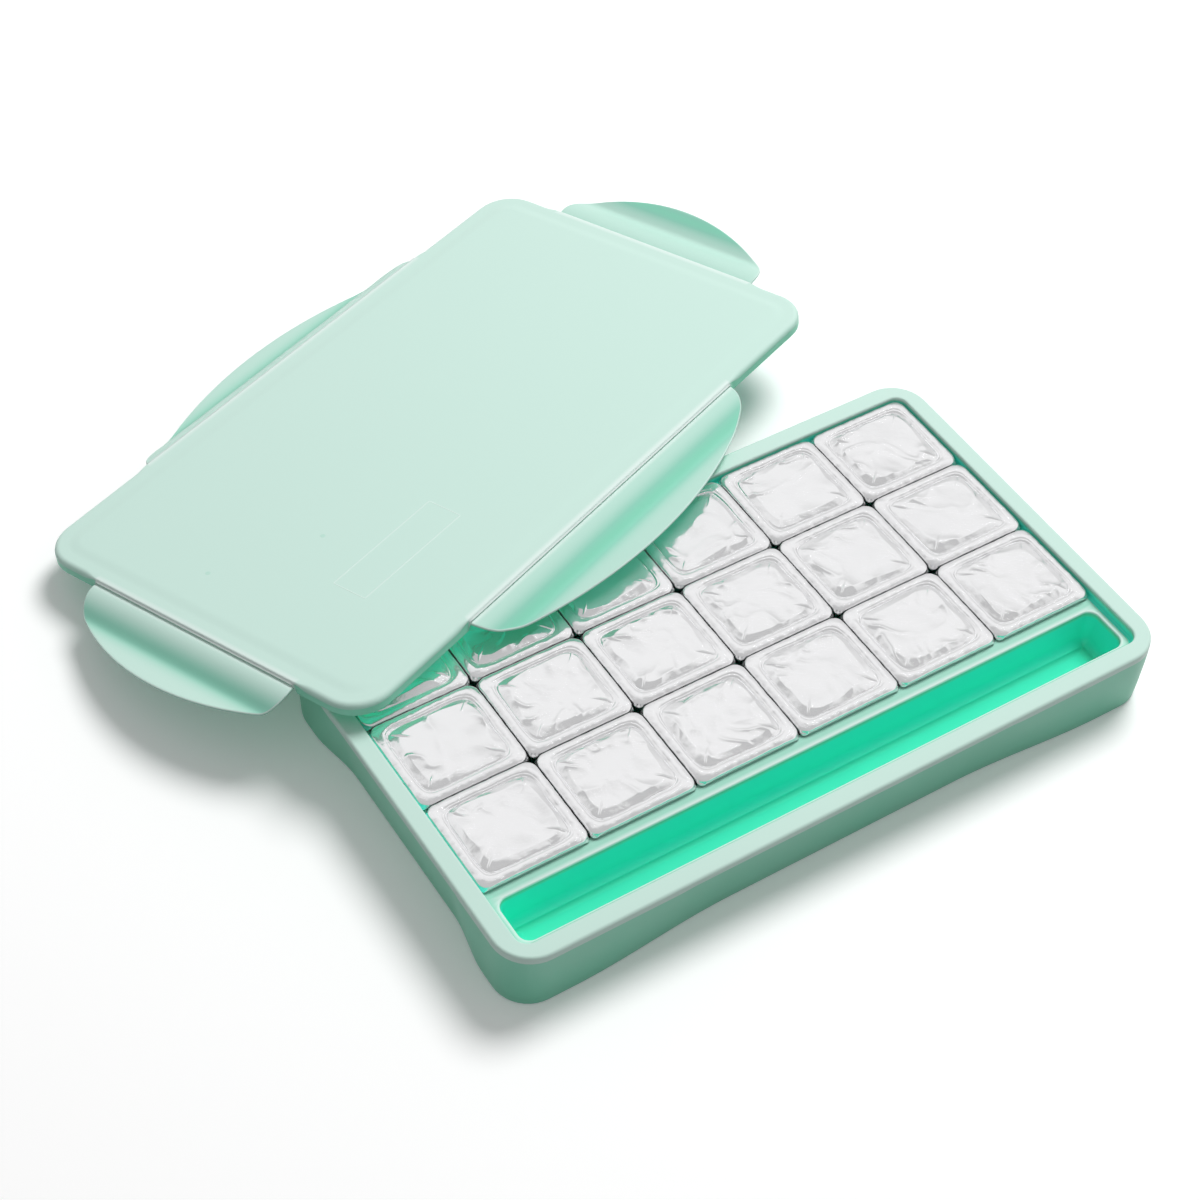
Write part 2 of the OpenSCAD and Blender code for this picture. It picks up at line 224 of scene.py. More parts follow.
# The frame's wall from the rim down to the ledge
def trayFrame(shell, frameBase, ledgeZ):
    t = tray
    rings = []
    for inset, z in fillet(0, t["height"], t["rimInnerRound"], "over inside"):
        rings.append(shell.ring(ringAt(frameBase, inset, z)))
    # painted shade down the frame's wall, deepest at its foot, less on the ledge
    rings.append(shell.ring(ringAt(frameBase, 0.05 * mm, t["height"] - 2 * mm), t["frameShade"]))
    for inset, z in fillet(0.15 * mm, ledgeZ, t["frameFoot"], "foot inside"):
        rings.append(shell.ring(ringAt(frameBase, inset, z), t["frameFootShade"]))
    rings.append(shell.ring(ringAt(frameBase, 1.6 * mm, ledgeZ), t["ledgeShade"]))
    shell.loft(rings)
    return rings


def trayTrough(shell, length, centreY, ledgeZ):
    t = tray
    lip, foot, draft = t["lipRadius"], t["troughFoot"], t["troughDraft"]
    # a painted highlight on the lip, painted bounce light on the walls, and painted shade deepening to the
    # floor
    lipShade, wallShade, footShade, floorShade = t["troughShades"]
    trough = outline(length, t["troughWidth"], t["panCorner"], centreY=centreY)
    floorZ = ledgeZ - t["troughDepth"]
    side = []
    for i, z in fillet(0, ledgeZ, lip, "over inside"):
        side.append(shell.ring(ringAt(trough, i, z), t["troughLipHighlight"]))
    side.append(shell.ring(ringAt(trough, 0.02 * mm, ledgeZ - lip - 0.5 * mm), lipShade))
    for k in range(1, 5):
        f = k / 5
        z = ledgeZ - lip - (t["troughDepth"] - lip - foot) * f
        side.append(shell.ring(ringAt(trough, draft * f, z), wallShade + t["troughFade"] * f))
    for i, z in fillet(draft, floorZ, foot, "foot inside", 8):
        tint = footShade + (floorShade - footShade) * (i - draft) / foot
        side.append(shell.ring(ringAt(trough, np.minimum(i, t["troughFootMost"]), z), tint))
    shell.loft(side)
    lessLength, lessWidth = t["troughFlatIn"]
    flatWidth = t["troughWidth"] - lessWidth
    inner = outline(length - lessLength, flatWidth, t["troughFlatRadius"], centreY=centreY)
    last = shell.ring(ringAt(inner, 0, floorZ), floorShade)
    shell.join(side[-1], last)
    shell.level([last])
    return side[0]


def trayBay(shell, length, width, centreY, ledgeZ):
    t = tray
    # painted shade on the bay's lip and the deepest painted shade down its walls
    lipShade, wallShade = t["bayShades"]
    bay = outline(length, width, t["panCorner"], centreY=centreY)
    side = []
    for i, z in fillet(0, ledgeZ, t["lipRadius"], "over inside"):
        side.append(shell.ring(ringAt(bay, i, z), lipShade))
    for i, z in fillet(t["bayDraft"], t["floor"], t["bayFoot"], "foot inside"):
        side.append(shell.ring(ringAt(bay, i, z), wallShade))
    shell.loft(side)
    shell.level([side[-1]])
    return side[0]


def makeTray():
    t = tray
    shell = Shell()
    frameLength = t["length"] - 2 * t["rimWidth"]
    frameWidth = t["width"] - 2 * t["rimWidth"]
    ledgeZ = t["height"] - t["frameDrop"]
    base = outline(t["length"], t["width"], t["cornerRadius"])
    frameBase = outline(frameLength, frameWidth, t["frameRadius"])
    rimOuter = trayWall(shell, base)
    rings = trayFrame(shell, frameBase, ledgeZ)
    shell.level([rimOuter, rings[0]])
    # brush trough and cup bay
    bayLength = frameLength - 2 * t["ledge"]
    bayBack = t["width"] / 2 - t["rimWidth"] - t["ledge"]
    bayFront = -bayBack + t["troughWidth"] + t["dividerWidth"]
    troughY = -bayBack + t["troughWidth"] / 2
    bayWidth, bayY = bayBack - bayFront, (bayBack + bayFront) / 2
    holes = [trayTrough(shell, bayLength, troughY, ledgeZ)]
    holes.append(trayBay(shell, bayLength, bayWidth, bayY, ledgeZ))
    shell.level([rings[-1]] + holes)
    # underside: foot, hollow, and the outsides of the two pans, in painted shade
    wall, under, band = t["wall"], t["underShade"], t["height"] - t["catchHeight"]
    footIn = np.maximum(trayInset(base, 0), 0)
    foot = [shell.ring(ringAt(base, footIn + 0.6 * mm, 0)), shell.ring(ringAt(base, footIn + wall, 0))]
    for z in np.linspace(2 * mm, t["height"] - wall, 8):
        inset = np.maximum(trayInset(base, min(z, band)), 0) + wall
        foot.append(shell.ring(ringAt(base, inset, z), under))
    pan = outline(frameLength + 2 * wall, frameWidth + 2 * wall, 8 * mm)
    foot.append(shell.ring(ringAt(pan, 0, t["height"] - wall), under))
    foot.append(shell.ring(ringAt(pan, 0, ledgeZ - wall), under))
    shell.hang(foot)
    corner = t["panUnderCorner"]
    bayUnder = outline(bayLength + 2 * wall, bayWidth + 2 * wall, corner, centreY=bayY)
    bayRings = [shell.ring(ringAt(bayUnder, 0, ledgeZ - wall), under)]
    bayRings.append(shell.ring(ringAt(bayUnder, 1 * mm, 0)))
    shell.hang(bayRings)
    shell.level([bayRings[1]], up=False)
    floorZ = ledgeZ - t["troughDepth"]
    troughUnder = outline(bayLength + 2 * wall, t["troughWidth"] + 2 * wall, corner, centreY=troughY)
    troughRings = []
    for inset, z in ((0, ledgeZ - wall), (1 * mm, floorZ + 3 * mm), (5 * mm, floorZ - wall)):
        troughRings.append(shell.ring(ringAt(troughUnder, inset, z), under))
    shell.hang(troughRings)
    shell.level([troughRings[-1]], up=False)
    shell.level([foot[-1], bayRings[0], troughRings[0]], up=False)
    return shell.build("trayMoulding")


lid = {
    "over": 0.5 * mm, "plate": 1.8 * mm, "skirt": 6.4 * mm, "skirtWall": 1.6 * mm,
    "edgeRadius": 2.4 * mm, "hingeEdgeRadius": 0.85 * mm, "hingeLip": 0.8 * mm,
    "rib": 7.4 * mm, "ribInset": 9.2 * mm,
    "panelInset": 9.5 * mm, "panelRise": 0.5 * mm, "panelSlopeOut": 3.6 * mm, "panelSlopeIn": 2.4 * mm,
    "longFlap": 181 * mm, "shortFlap": 111 * mm, "notchGap": 0.3 * mm, "notchFade": 7 * mm,
    "leanLeft": 36.3 * mm, "leanBack": 170.1 * mm, "pitch": 8.8, "roll": 0.9, "turn": 20.35,
    "restGap": 0.3 * mm, "restSpot": (-145.8 * mm, -46.5 * mm),
    "mark": {"x": -74 * mm, "y": -39 * mm, "length": 61 * mm, "width": 17 * mm, "tint": 0.05},
    "pips": ((-128.4 * mm, 17.7 * mm), (-84.8 * mm, -7.1 * mm)), "pipRadius": 1.4 * mm,
    # painted light and shade: a highlight along the hinges, shade on the rounded edge, skirt, underside and
    # rib, and a painted glow under the plate and rib
    "topTint": 0.1, "hingeHighlight": 0.02, "edgeShade": 0.12, "skirtShade": 0.4,
    "underShade": 0.6, "underPaintedGlow": 1.0, "ribShade": 0.5, "ribPaintedGlow": 0.5,
}


# Where the lid leans: its rib rests on the tray's back left corner
def lidPlace():
    d = lid
    roll, pitch = math.radians(d["roll"]), math.radians(d["pitch"])
    u, v = d["restSpot"]
    drop = math.cos(roll) * (math.sin(pitch) * v + math.cos(pitch) * d["rib"]) + math.sin(roll) * u
    z = tray["height"] + d["restGap"] + drop
    turn = Euler((-pitch, roll, math.radians(d["turn"])), "XYZ").to_matrix().to_4x4()
    return Matrix.Translation((-d["leanLeft"], d["leanBack"], z)) @ turn


# A faint moulded frame on the panel, and shallow round marks where the mould was filled
def lidMarks(shell):
    m = lid["mark"]
    mark = outline(m["length"], m["width"], 0.6 * mm, 3, 2, 2, centreY=m["y"])
    mark["spots"][:, 0] += m["x"]
    rings = []
    for inset, z in ((-0.35, -0.05), (-0.15, 0.1), (0.15, 0.1), (0.35, -0.05)):
        rings.append(shell.ring(ringAt(mark, inset * mm, z * mm), m["tint"]))
    shell.loft(rings)
    radius = lid["pipRadius"]
    for spot in lid["pips"]:
        pip = outline(2 * radius, 2 * radius, radius - 0.01 * mm, 8, 1, 1)
        pip["spots"] += spot
        rings = []
        for inset, z, tint in ((0, -0.05, 0.1), (0.15, 0.01, 0.13), (0.6, 0.03, 0.16)):
            rings.append(shell.ring(ringAt(pip, inset * radius, z * mm), tint))
        shell.loft(rings)
        shell.level([rings[-1]])


def makeLid(place):
    d = lid
    shell = Shell()
    length, width = tray["length"] + 2 * d["over"], tray["width"] + 2 * d["over"]
    base = outline(length, width, tray["cornerRadius"] + d["over"], longSteps=192, shortSteps=112)
    # along each flap the skirt is missing, and the plate has a thin lip
    flapHere = np.zeros(len(base["spots"]))
    away = np.ones(len(base["spots"]))
    for k in range(4):
        half = (d["longFlap"] if k % 2 == 0 else d["shortFlap"]) / 2 + d["notchGap"]
        on = base["side"] == k
        past = np.abs(base["along"][on]) - half
        flapHere[on] = past < 0
        away[on] = smoothStep(past / d["notchFade"])
    skirtZ = np.where(flapHere > 0, -d["plate"], -d["skirt"])
    top = -d["panelRise"]
    edge = d["hingeEdgeRadius"] + (d["edgeRadius"] - d["hingeEdgeRadius"]) * away
    lip = d["hingeLip"] * flapHere
    # painted shade on the skirt, none along the flaps
    tone = d["skirtShade"] * (1 - flapHere)
    rings = []
    for inset, rise in ((0.35, 0.0), (0.1, 0.1), (0.0, 0.25), (0.04, 0.38)):
        rings.append(shell.ring(ringAt(base, inset * mm - lip, skirtZ + rise * mm), tone))
    z = np.maximum(skirtZ + 0.42 * mm, top - edge - 0.1 * mm)
    rings.append(shell.ring(ringAt(base, 0.0, z), tone))
    # painted highlight on the rounded edge along each hinge; elsewhere painted shade that grows down the edge
    for inset, z in fillet(0, top, edge, "over outside", 8):
        shade = d["edgeShade"] * smoothStep((top - z) / d["edgeRadius"])
        tint = np.where(flapHere > 0, d["hingeHighlight"], d["topTint"] + shade)
        rings.append(shell.ring(ringAt(base, inset, z), tint))
    rings.append(shell.ring(ringAt(base, 3 * mm, top)))
    # the panel stands a little higher, with a soft slope around it
    slopeOut = d["panelInset"] - d["panelSlopeOut"]
    slopeIn = d["panelInset"] + d["panelSlopeIn"]
    for f in np.linspace(0, 1, 9):
        inset = slopeOut + (slopeIn - slopeOut) * f
        rings.append(shell.ring(ringAt(base, inset, top + d["panelRise"] * smoothStep(f))))
    rings.append(shell.ring(ringAt(base, slopeIn + 0.6 * mm, 0.0)))
    shell.loft(rings)
    shell.level([rings[-1]])
    lidMarks(shell)
    # underside, with the locating rib, in painted shade with a painted green glow
    ribIn = d["ribInset"] + d["skirtWall"]
    plate = (-d["plate"], d["underShade"], d["underPaintedGlow"])
    rib = (-d["rib"], d["ribShade"], d["ribPaintedGlow"])
    ribOut = d["ribInset"]
    steps = ((d["skirtWall"], plate), (ribOut, plate), (ribOut, rib), (ribIn, rib), (ribIn, plate))
    under = [rings[0], shell.ring(ringAt(base, d["skirtWall"], skirtZ))]
    for inset, (z, tint, glow) in steps:
        under.append(shell.ring(ringAt(base, inset, z), tint, glow))
    shell.hang(under)
    shell.level([under[-1]], up=False)
    return shell.build("lidMoulding", place)


flap = {
    "valleyStart": 2 * mm, "valleyAt": 14.5 * mm, "valleyDepth": 7 * mm, "valleyCurve": 1.8,
    "lipRise": 1.6 * mm, "softening": 6 * mm, "thickness": 1.4 * mm, "endRadius": 13 * mm,
    "bead": 0.7 * mm, "roundBead": 0.95 * mm, "beadIn": 0.5 * mm, "hingeGap": 0.3 * mm,
    "foldRoom": 0.15 * mm, "rimRound": 0.55 * mm,
    # painted shade in a band across the valley and by the bead, a painted highlight turning to painted shade
    # round the edge, and painted shade with a painted glow underneath
    "valleyShade": 0.2, "bandWidth": 4.5 * mm, "rootShade": 0.15,
    "rootFrom": 1 * mm, "rootFade": 3 * mm, "shadeTo": 1.3 * mm, "shadeFade": 0.6 * mm, "edgeHighlight": 0.05,
    "edgeFade": 0.07, "underShade": 0.5, "underPaintedGlow": 0.3, "beadTint": 0.1,
    # each piece's tint and root make lit or shaded copies of the mint, painted light and shade; bandAt places
    # the painted shade band
    "pieces": {
        "flap_front": {
            "side": -90, "half": 90.5 * mm, "reach": 29 * mm, "sweep": 207 * mm, "set": 0,
            "tint": 0.16, "root": 0.02, "bandAt": 13 * mm,
        },
        "flap_back": {
            "side": 90, "half": 90.5 * mm, "reach": 26 * mm, "sweep": 207 * mm, "set": -7,
            "tint": 0.14, "root": 0.05, "bandAt": 13 * mm,
        },
        "flap_left": {
            "side": 180, "half": 55.5 * mm, "reach": 28 * mm, "sweep": 101 * mm, "set": 0,
            "tint": 0.11, "root": 0.03, "bandAt": 13 * mm,
        },
        "flap_right": {
            "side": 0, "half": 55.5 * mm, "reach": 28 * mm, "sweep": 101 * mm, "set": 21,
            "tint": 0.15, "root": 0.17, "bandAt": 24 * mm,
        },
    },
}


# Height of a flap's upper face: down into the valley, then up to the lip
def flapHeight(u, reach):
    f = flap
    fine = 0.1 * mm
    grid = np.arange(-10 * mm, reach + 10 * mm, fine)
    slope = (grid - f["valleyStart"]) / (f["valleyAt"] - f["valleyStart"])
    dip = -f["valleyDepth"] * np.clip(slope, 0, 1) ** f["valleyCurve"]
    rise = f["lipRise"] * np.maximum((grid - f["valleyAt"]) / (reach - f["valleyAt"]), 0)
    weights = np.hanning(int(f["softening"] / fine) + 1)
    return np.interp(u, grid, np.convolve(dip + rise, weights / weights.sum(), "same"))


# Furthest reach of a flap at each place along it
def flapReach(v, half, reach, sweep, end):
    middle = reach - sweep
    cornerV = half - end
    cornerU = middle + math.sqrt((sweep - end) ** 2 - cornerV ** 2)
    seam = cornerV * sweep / (sweep - end)
    v = np.abs(v)
    arc = middle + np.sqrt(np.maximum(sweep ** 2 - v ** 2, 0))
    corner = cornerU + np.sqrt(np.maximum(end ** 2 - np.maximum(v - cornerV, 0) ** 2, 0))
    return np.where(v <= seam, arc, corner)


def makeFlap(name, piece, place):
    f = flap
    r = f["rimRound"]
    half, reach = piece["half"] - r, piece["reach"] - r
    sweep, end = piece["sweep"] - r, f["endRadius"] - r
    steps, near, far = 160, 30, 16      # faces along the hinge, up to the valley, beyond it
    a = np.linspace(-math.pi / 2, math.pi / 2, steps + 1)
    v = half * np.sin(a)
    most = flapReach(v, half, reach, sweep, end)
    valley = np.minimum(most, f["valleyAt"])
    start = -f["bead"] + f["foldRoom"]
    rows = [start + (valley - start) * (i / near) for i in range(near + 1)]
    rows += [valley + (most - valley) * (i / far) for i in range(1, far + 1)]
    rows = np.array(rows)
    heights = flapHeight(np.maximum(rows, 0), piece["reach"])
    count = steps + 1
    topZ = f["bead"] / 2
    upper = np.stack([rows, np.broadcast_to(v, rows.shape), heights + topZ], -1).reshape(-1, 3)
    lower = upper - np.array([0, 0, f["thickness"]])
    # a painted highlight at the hinge, painted shade in a band across the valley and just by the bead; the
    # lower face has painted shade and a painted glow
    fromBand = (rows - piece["bandAt"]) / f["bandWidth"]
    fromRoot = smoothStep((rows - f["rootFrom"]) / f["rootFade"])
    deep = piece["root"] + (piece["tint"] - piece["root"]) * fromRoot
    deep += f["valleyShade"] * np.exp(-fromBand ** 2)
    deep += f["rootShade"] * smoothStep((f["shadeTo"] - rows) / f["shadeFade"])
    shell = Shell()
    shell.ring(upper, deep.reshape(-1))
    shell.ring(lower, f["underShade"], f["underPaintedGlow"])
    m = len(rows)
    offset = m * count
    for i in range(m - 1):
        for j in range(steps):
            q = (i * count + j, (i + 1) * count + j, (i + 1) * count + j + 1, i * count + j + 1)
            shell.faces += [q, tuple(k + offset for k in reversed(q))]
            shell.flat += [False, False]
    # the rounded edge, from the upper face round to the lower one, from a painted highlight on top to painted
    # shade underneath
    loop = [i * count for i in range(m)] + [(m - 1) * count + j for j in range(1, count)]
    loop += [i * count + steps for i in range(m - 2, -1, -1)] + [j for j in range(steps - 1, 0, -1)]
    keep = [loop[0]]
    for i in loop[1:]:
        if np.linalg.norm(upper[i] - upper[keep[-1]]) > samePlace:
            keep.append(i)
    flatPoints = upper[keep][:, :2]
    before, after = np.roll(flatPoints, 1, 0), np.roll(flatPoints, -1, 0)
    t = after - before
    n = np.column_stack([t[:, 1], -t[:, 0]])
    n /= np.maximum(np.linalg.norm(n, axis=1), noLength)[:, None]
    if (n * (flatPoints - flatPoints.mean(0))).sum() < 0:
        n = -n
    rings = [keep]
    thick = f["thickness"]
    for k in range(1, 6):
        angle = math.pi * k / 6
        p = upper[keep].copy()
        p[:, :2] += n * r * math.sin(angle)
        p[:, 2] -= thick / 2 * (1 - math.cos(angle))
        rings.append(shell.ring(p, f["edgeHighlight"] + f["edgeFade"] * (k - 1)))
    rings.append([i + offset for i in keep])
    shell.hang(rings)
    # hinge bead
    beads = []
    turns = np.linspace(0, 2 * math.pi, 17)[:-1]
    for hand in (-1, 1):
        y = hand * (half + r)
        circle = [(f["roundBead"] * math.sin(b), y, f["roundBead"] * math.cos(b)) for b in turns]
        beads.append(shell.ring(circle, f["beadTint"]))
    shell.join(beads[0], beads[1])
    shell.faces += [tuple(beads[0]), tuple(reversed(beads[1]))]
    shell.flat += [True, True]
    long = name in ("flap_front", "flap_back")
    out = (tray["width"] if long else tray["length"]) / 2 + lid["over"] - f["beadIn"]
    hingeZ = -lid["plate"] - f["hingeGap"] - f["bead"]
    turn = Matrix.Rotation(math.radians(piece["side"]), 4, "Z")
    tilt = Matrix.Rotation(-math.radians(piece["set"]), 4, "Y")
    spot = place @ turn @ Matrix.Translation((out, 0, hingeZ)) @ tilt
    made = shell.build(name.replace("flap_", "flapMoulding"), spot)
    cleanUp(made)
    return made


# Joins points that share a place, and turns all faces outwards
def cleanUp(obj):
    bm = bmesh.new()
    bm.from_mesh(obj.data)
    bmesh.ops.remove_doubles(bm, verts=bm.verts, dist=2 * samePlace)
    bmesh.ops.dissolve_degenerate(bm, edges=bm.edges, dist=samePlace)
    bmesh.ops.recalc_face_normals(bm, faces=bm.faces)
    bm.to_mesh(obj.data)
    bm.free()


cups = {
    "pitchX": 49.1 * mm, "pitchY": 44.6 * mm, "length": 48.7 * mm, "width": 44.2 * mm,
    "radius": 4.6 * mm, "skirtRadius": 2.2 * mm, "bodyRadius": 4.5 * mm, "backEdge": 81.4 * mm,
    "top": 30 * mm, "flange": 2.6 * mm, "flangeIn": 0.22 * mm, "flangeRound": 1.0 * mm,
    "bodyInset": 3.9 * mm, "taper": 2 * mm, "rollRadius": 0.8 * mm, "foilAbove": 0.1 * mm,
    "sealEdge": 5.0 * mm, "pillow": 0.95 * mm, "crease": 0.75 * mm, "raggedEdge": 0.9 * mm, "seed": 11,
}


def cupCentre(row, column):
    c = cups
    y = c["backEdge"] - c["width"] / 2 - (2 - row) * c["pitchY"]
    return (column - 3.5) * c["pitchX"], y


def makeCup(name, x, y):
    c = cups
    shell = Shell()
    flange = outline(c["length"], c["width"], c["radius"], 8, 4, 4)
    bodyLength, bodyWidth = c["length"] - 2 * c["bodyInset"], c["width"] - 2 * c["bodyInset"]
    body = outline(bodyLength, bodyWidth, c["bodyRadius"], 8, 4, 4)
    flangeZ = c["top"] - c["flange"]
    rings = [shell.ring(ringAt(body, c["taper"] + 1 * mm, tray["floor"]))]
    rings.append(shell.ring(ringAt(body, c["taper"], tray["floor"] + 1 * mm)))
    rings.append(shell.ring(ringAt(body, 0.1 * mm, flangeZ)))
    for inset, rise in ((0.5 * mm, 0.0), (0.3 * mm, 0.15 * mm), (c["flangeIn"], 0.5 * mm)):
        rings.append(shell.ring(ringAt(flange, inset, flangeZ + rise)))
    for inset, z in fillet(c["flangeIn"], c["top"] - 0.2 * mm, c["flangeRound"], "over outside", 5):
        rings.append(shell.ring(ringAt(flange, inset, z)))
    shell.loft(rings)
    shell.level([rings[0]], up=False)
    shell.level([rings[-1]])
    return shell.build(name, Matrix.Translation((x, y, 0)))


# One flat foil with its folded edge, before it is creased
def foilBase():
    c = cups
    shell = Shell()
    edge = outline(c["length"], c["width"], c["radius"], 9, 56, 50)
    skirt = outline(c["length"], c["width"], c["skirtRadius"], 9, 56, 50)
    rings = []
    for inset, z in ((0.3, -2.45), (0.15, -2.1)):
        rings.append(shell.ring(ringAt(skirt, inset * mm, z * mm)))
    between = (ringAt(skirt, 0.12 * mm, -1.6 * mm) + ringAt(edge, 0.12 * mm, -1.6 * mm)) / 2
    rings.append(shell.ring(between))
    for inset, z in fillet(0.05 * mm, 0, c["rollRadius"], "over outside"):
        rings.append(shell.ring(ringAt(edge, inset, z)))
    for inset in np.linspace(1.4, 3.2, 7):
        rings.append(shell.ring(ringAt(edge, inset * mm, 0.0)))
    spots = np.array([shell.points[i] for i in rings[-1]])
    reach = c["length"] / 2 - 3.2 * mm
    for depth in [*np.arange(0.2, 5.0, 0.2), *np.linspace(5.2, reach / mm - 0.4, 26)]:
        rings.append(shell.ring(spots * (1 - depth * mm / reach)))
    shell.loft(rings)
    centre = shell.ring([(0, 0, 0)])[0]
    last = rings[-1]
    for i in range(len(last)):
        shell.faces.append((last[i], last[(i + 1) % len(last)], centre))
        shell.flat.append(False)
    return shell.build("foilBase")


foil = {
    "cornerBlend": 0.010, "sealWander": 0.0016, "rollHeight": 0.0006,
    # place, half width and depth of each pressed line
    "pressedLines": ((0.0002, 0.0005, -0.0004), (0.0012, 0.0004, -0.00014)),
    "border": 0.0026, "borderWander": 0.006, "dents": 2.6,
    "ridgeNarrow": 9.0, "ridgePower": 2.5, "ridgeReach": 0.012, "ridgeMiddle": 0.25,
    "foldWander": 0.003, "foldHalf": 0.0008, "foldReach": 0.007,
    "fineHeight": 0.0005, "fineInside": 0.8, "skirtLow": -0.0024, "skirtHigh": -0.0004,
    "rimWaves": 0.8, "edgeSway": 0.022, "swayReach": 0.002, "seedStep": 3.7,
    # scale, detail, distortion and shift
    "noises": {
        "seal": (60.0, 1.0, 0.2, 2.0), "border": (50.0, 1.0, 0.0, 4.0), "dents": (40.0, 1.0, 0.5, 0.0),
        "ridges": (42.0, 1.5, 0.8, 6.0), "folds": (110.0, 1.0, 0.0, 8.0), "fine": (230.0, 2.0, 0.5, 9.0),
        "rim": (330.0, 3.0, 0.4, 12.0), "rimWaves": (90.0, 1.0, 0.0, 13.0), "sway": (240.0, 2.0, 0.5, 15.0),
    },
}


# Creases a flat foil: a roll on the edge, a pillow with dents, ridges, and a ragged rim
def foilTree():
    f = foil
    tree = bpy.data.node_groups.new("creasedFoil", "GeometryNodeTree")
    face = tree.interface
    face.new_socket("Geometry", in_out="INPUT", socket_type="NodeSocketGeometry")
    sockets = {
        "Half Length": 0.024, "Half Width": 0.022, "Seal Edge": 0.0047, "Pillow": 0.0007,
        "Crease": 0.0005, "Ragged Edge": 0.0009, "Seed": 0.0, "Top": 0.03,
    }
    for name, value in sockets.items():
        s = face.new_socket(name, in_out="INPUT", socket_type="NodeSocketFloat")
        s.default_value = value
    face.new_socket("Place", in_out="INPUT", socket_type="NodeSocketVector")
    face.new_socket("Material", in_out="INPUT", socket_type="NodeSocketMaterial")
    face.new_socket("Geometry", in_out="OUTPUT", socket_type="NodeSocketGeometry")
    add, link = tree.nodes.new, tree.links.new
    into, out = add("NodeGroupInput"), add("NodeGroupOutput")

    def put(value, socket):
        if isinstance(value, (int, float)):
            socket.default_value = value
        else:
            link(value, socket)

    def calc(op, *values):
        n = add("ShaderNodeMath")
        n.operation = op
        for v, socket in zip(values, n.inputs):
            put(v, socket)
        return n.outputs[0]

    def total(*values):
        result = values[0]
        for v in values[1:]:
            result = calc("ADD", result, v)
        return result

    def product(*values):
        result = values[0]
        for v in values[1:]:
            result = calc("MULTIPLY", result, v)
        return result

    def remap(value, low, high, toLow, toHigh, kind="SMOOTHSTEP"):
        n = add("ShaderNodeMapRange")
        n.interpolation_type = kind
        names = ("Value", "From Min", "From Max", "To Min", "To Max")
        for name, v in zip(names, (value, low, high, toLow, toHigh)):
            put(v, n.inputs[name])
        return n.outputs["Result"]

    # noise from -0.5 to 0.5 that differs from foil to foil
    def noise(kind):
        scale, detail, distortion, shift = f["noises"][kind]
        n = add("ShaderNodeTexNoise")
        n.noise_dimensions = "4D"
        link(position, n.inputs["Vector"])
        link(total(product(into.outputs["Seed"], f["seedStep"]), shift), n.inputs["W"])
        for name, v in (("Scale", scale), ("Detail", detail), ("Roughness", 0.5), ("Distortion", distortion)):
            n.inputs[name].default_value = v
        return calc("SUBTRACT", n.outputs["Fac"], 0.5)

    position = add("GeometryNodeInputPosition").outputs[0]
    parts = add("ShaderNodeSeparateXYZ")
    link(position, parts.inputs[0])
    across, along, up = parts.outputs
    edge, seal = into.outputs["Ragged Edge"], into.outputs["Seal Edge"]
    fromX = calc("SUBTRACT", into.outputs["Half Length"], calc("ABSOLUTE", across))
    fromY = calc("SUBTRACT", into.outputs["Half Width"], calc("ABSOLUTE", along))
    plain = calc("SMOOTH_MIN", fromX, fromY, f["cornerBlend"])
    depth = total(plain, product(noise("seal"), f["sealWander"]))
    beyond = calc("SUBTRACT", depth, seal)
    # the roll along the edge, with two pressed lines inside it
    roll = product(calc("SINE", remap(plain, 0.0, seal, 0.0, math.pi, "LINEAR")), f["rollHeight"])
    lines = []
    for at, half, deep in f["pressedLines"]:
        fromLine = calc("ABSOLUTE", total(beyond, at))
        lines.append(product(remap(fromLine, 0.0, half, 1.0, 0.0), deep))
    # the pillow: a sloping border whose width wanders, then a dented middle
    width = total(f["border"], product(noise("border"), f["borderWander"]))
    inside = remap(beyond, 0.0, width, 0.0, 1.0, "LINEAR")
    dents = product(noise("dents"), f["dents"])
    pillow = product(inside, into.outputs["Pillow"], total(1.0, dents))
    # ridges that run where the noise crosses zero, lower towards the middle
    fromRidge = product(calc("ABSOLUTE", noise("ridges")), f["ridgeNarrow"])
    ridges = calc("POWER", calc("SUBTRACT", 1.0, calc("MINIMUM", fromRidge, 1.0)), f["ridgePower"])
    nearBorder = remap(beyond, 0.0, f["ridgeReach"], 1.0, f["ridgeMiddle"])
    creases = product(inside, into.outputs["Crease"], ridges, nearBorder)
    # a fold on each corner's diagonal
    wander = product(noise("folds"), f["foldWander"])
    diagonal = calc("ABSOLUTE", total(calc("SUBTRACT", fromX, fromY), wander))
    onDiagonal = remap(diagonal, 0.0, f["foldHalf"], 1.0, 0.0)
    foldHere = product(onDiagonal, remap(beyond, 0.0, f["foldReach"], 1.0, 0.0))
    corner = product(foldHere, inside, into.outputs["Crease"])
    smoother = calc("SUBTRACT", 1.0, product(inside, f["fineInside"]))
    fine = product(noise("fine"), f["fineHeight"], smoother)
